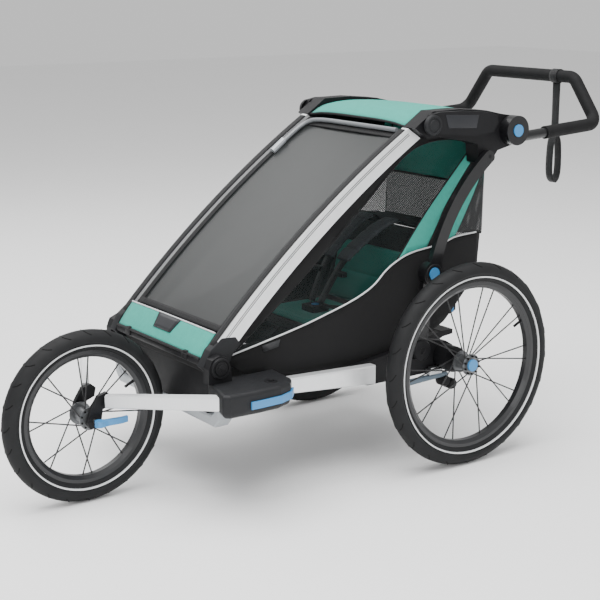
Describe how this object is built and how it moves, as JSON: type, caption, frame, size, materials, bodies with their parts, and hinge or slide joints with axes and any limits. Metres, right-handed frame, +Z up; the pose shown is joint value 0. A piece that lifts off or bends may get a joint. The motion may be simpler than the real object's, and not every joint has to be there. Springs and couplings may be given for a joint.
{
  "type": "child bicycle trailer",
  "caption": "Single-seat enclosed child trailer in jogging set-up, with sloped screen, folding aluminium frame, spoked wheels and a push bar.",
  "frame": {"origin": "on the ground under the middle of the trailer", "axes": "+Z up, -Y towards the front wheel, +X towards the trailer's left"},
  "size_m": [0.6776, 1.5688, 0.9237],
  "materials": {
    "tyre": "satin",
    "rim": "satin black",
    "spoke": "dark",
    "hub": "satin",
    "blue": "satin",
    "silver": "anodised",
    "light_grey": "satin",
    "black_plastic": "fine grain",
    "black_metal": "satin",
    "steel": "satin",
    "foam": "matte",
    "webbing": "woven",
    "teal_fabric": "woven",
    "black_fabric": "woven",
    "screen": "fine mesh"
  },
  "bodies": {
    "chassis": {"side_rail_left": "silver", "side_rail_right": "silver", "arm_socket_left": "black_plastic", "arm_socket_right": "black_plastic", "front_bar": "light_grey", "footwell": "black_plastic", "front_cross_tube": "black_metal", "front_brackets": "black_plastic", "rear_brackets": "black_plastic", "axle_housings": "black_plastic", "rear_axle": "black_metal", "pivot_pins": "steel", "jog_arm_left": "silver", "jog_arm_right": "silver", "jog_dropouts": "black_plastic", "front_axle": "steel", "front_axle_nut": "hub", "seat_base": "black_fabric", "seat_back": "black_fabric", "cargo_bag": "black_fabric", "harness": "webbing", "side_panels": "black_fabric", "rear_panel": "black_fabric", "buckle": "black_plastic"},
    "front_wheel": {"front_tyre": "tyre", "front_rim": "rim", "front_spokes": "spoke", "front_hub": "hub"},
    "rear_wheel_left": {"rear_tyre_left": "tyre", "rear_rim_left": "rim", "rear_spokes_left": "spoke", "rear_hub_left": "hub"},
    "rear_wheel_right": {"rear_tyre_right": "tyre", "rear_rim_right": "rim", "rear_spokes_right": "spoke", "rear_hub_right": "hub"},
    "release_left": {"wheel_release_left": "blue"},
    "release_right": {"wheel_release_right": "blue"},
    "axle_lever": {"quick_release_lever": "blue"},
    "latch_left": {"socket_latch_left": "blue"},
    "latch_right": {"socket_latch_right": "blue"},
    "brake": {"brake_pedal": "black_plastic"},
    "upper_frame": {"upright_left": "silver", "upright_right": "silver", "top_casting_left": "black_plastic", "top_casting_right": "black_plastic", "top_cross_tube": "black_metal", "window_screen": "screen", "roof_panel": "teal_fabric", "front_band": "teal_fabric"},
    "strut_upper": {"upper_struts": "black_metal"},
    "strut_lower": {"lower_struts": "black_metal"},
    "elbow_button_left": {"fold_button_left": "blue"},
    "elbow_button_right": {"fold_button_right": "blue"},
    "handle": {"handlebar": "black_metal", "handlebar_grip": "foam", "wrist_strap": "webbing"},
    "handle_button_left": {"handlebar_button_left": "blue"},
    "handle_button_right": {"handlebar_button_right": "blue"},
    "buckle_press": {"buckle_button": "blue"}
  },
  "joints": [
    {"name": "front_wheel_spin", "type": "hinge", "parent": "chassis", "child": "front_wheel", "pos_m": [0, -0.5848, 0.1995], "axis": [1, 0, 0], "continuous": true},
    {"name": "frame_fold", "type": "hinge", "parent": "chassis", "child": "upper_frame", "pos_m": [0, -0.3735, 0.331], "axis": [-1, 0, 0], "range_deg": [0, 28], "deforming": ["side_panels", "rear_panel", "cargo_bag", "seat_back", "harness"]},
    {"name": "strut_upper_turn", "type": "hinge", "parent": "upper_frame", "child": "strut_upper", "pos_m": [0, 0.3915, 0.738], "axis": [-1, 0, 0], "range_deg": [0, 56]},
    {"name": "strut_lower_turn", "type": "hinge", "parent": "chassis", "child": "strut_lower", "pos_m": [0, 0.1985, 0.281], "axis": [1, 0, 0], "range_deg": [0, 4.1]},
    {"name": "handlebar_tilt", "type": "hinge", "parent": "upper_frame", "child": "handle", "pos_m": [0, 0.4725, 0.796], "axis": [1, 0, 0], "range_deg": [-70, 50], "deforming": ["wrist_strap"]},
    {"name": "brake_press", "type": "hinge", "parent": "chassis", "child": "brake", "pos_m": [0, 0.2835, 0.25], "axis": [-1, 0, 0], "range_deg": [0, 16]},
    {"name": "quick_release_open", "type": "hinge", "parent": "chassis", "child": "axle_lever", "pos_m": [0.07, -0.5848, 0.1995], "axis": [0, 0, -1], "range_deg": [0, 120]},
    {"name": "buckle_button_press", "type": "slide", "parent": "chassis", "child": "buckle_press", "axis": [0, 0, -1], "range_m": [0, 0.003], "stiffness_N_per_m": 600},
    {"name": "rear_wheel_left_spin", "type": "hinge", "parent": "chassis", "child": "rear_wheel_left", "pos_m": [0.3153, 0.2835, 0.25], "axis": [1, 0, 0], "continuous": true},
    {"name": "wheel_release_left_press", "type": "slide", "parent": "rear_wheel_left", "child": "release_left", "axis": [-1, 0, 0], "range_m": [0, 0.004], "stiffness_N_per_m": 600},
    {"name": "socket_latch_left_open", "type": "hinge", "parent": "chassis", "child": "latch_left", "pos_m": [0.335, -0.3565, 0.2675], "axis": [0, 0, -1], "range_deg": [0, 15], "stiffness_Nm_per_rad": 1},
    {"name": "fold_button_left_press", "type": "slide", "parent": "strut_upper", "child": "elbow_button_left", "axis": [-1, 0, 0], "range_m": [0, 0.004], "stiffness_N_per_m": 600},
    {"name": "handlebar_button_left_press", "type": "slide", "parent": "handle", "child": "handle_button_left", "axis": [-1, 0, 0], "range_m": [0, 0.0035], "stiffness_N_per_m": 600},
    {"name": "rear_wheel_right_spin", "type": "hinge", "parent": "chassis", "child": "rear_wheel_right", "pos_m": [-0.3153, 0.2835, 0.25], "axis": [1, 0, 0], "continuous": true},
    {"name": "wheel_release_right_press", "type": "slide", "parent": "rear_wheel_right", "child": "release_right", "axis": [1, 0, 0], "range_m": [0, 0.004], "stiffness_N_per_m": 600},
    {"name": "socket_latch_right_open", "type": "hinge", "parent": "chassis", "child": "latch_right", "pos_m": [-0.335, -0.3565, 0.2675], "axis": [0, 0, 1], "range_deg": [0, 15], "stiffness_Nm_per_rad": 1},
    {"name": "fold_button_right_press", "type": "slide", "parent": "strut_upper", "child": "elbow_button_right", "axis": [1, 0, 0], "range_m": [0, 0.004], "stiffness_N_per_m": 600},
    {"name": "handlebar_button_right_press", "type": "slide", "parent": "handle", "child": "handle_button_right", "axis": [1, 0, 0], "range_m": [0, 0.0035], "stiffness_N_per_m": 600}
  ],
  "couplings": [
    {"joint": "strut_upper_turn", "follows": "frame_fold", "ratio": 1.9929},
    {"joint": "strut_lower_turn", "follows": "frame_fold", "ratio": 0.14286}
  ]
}
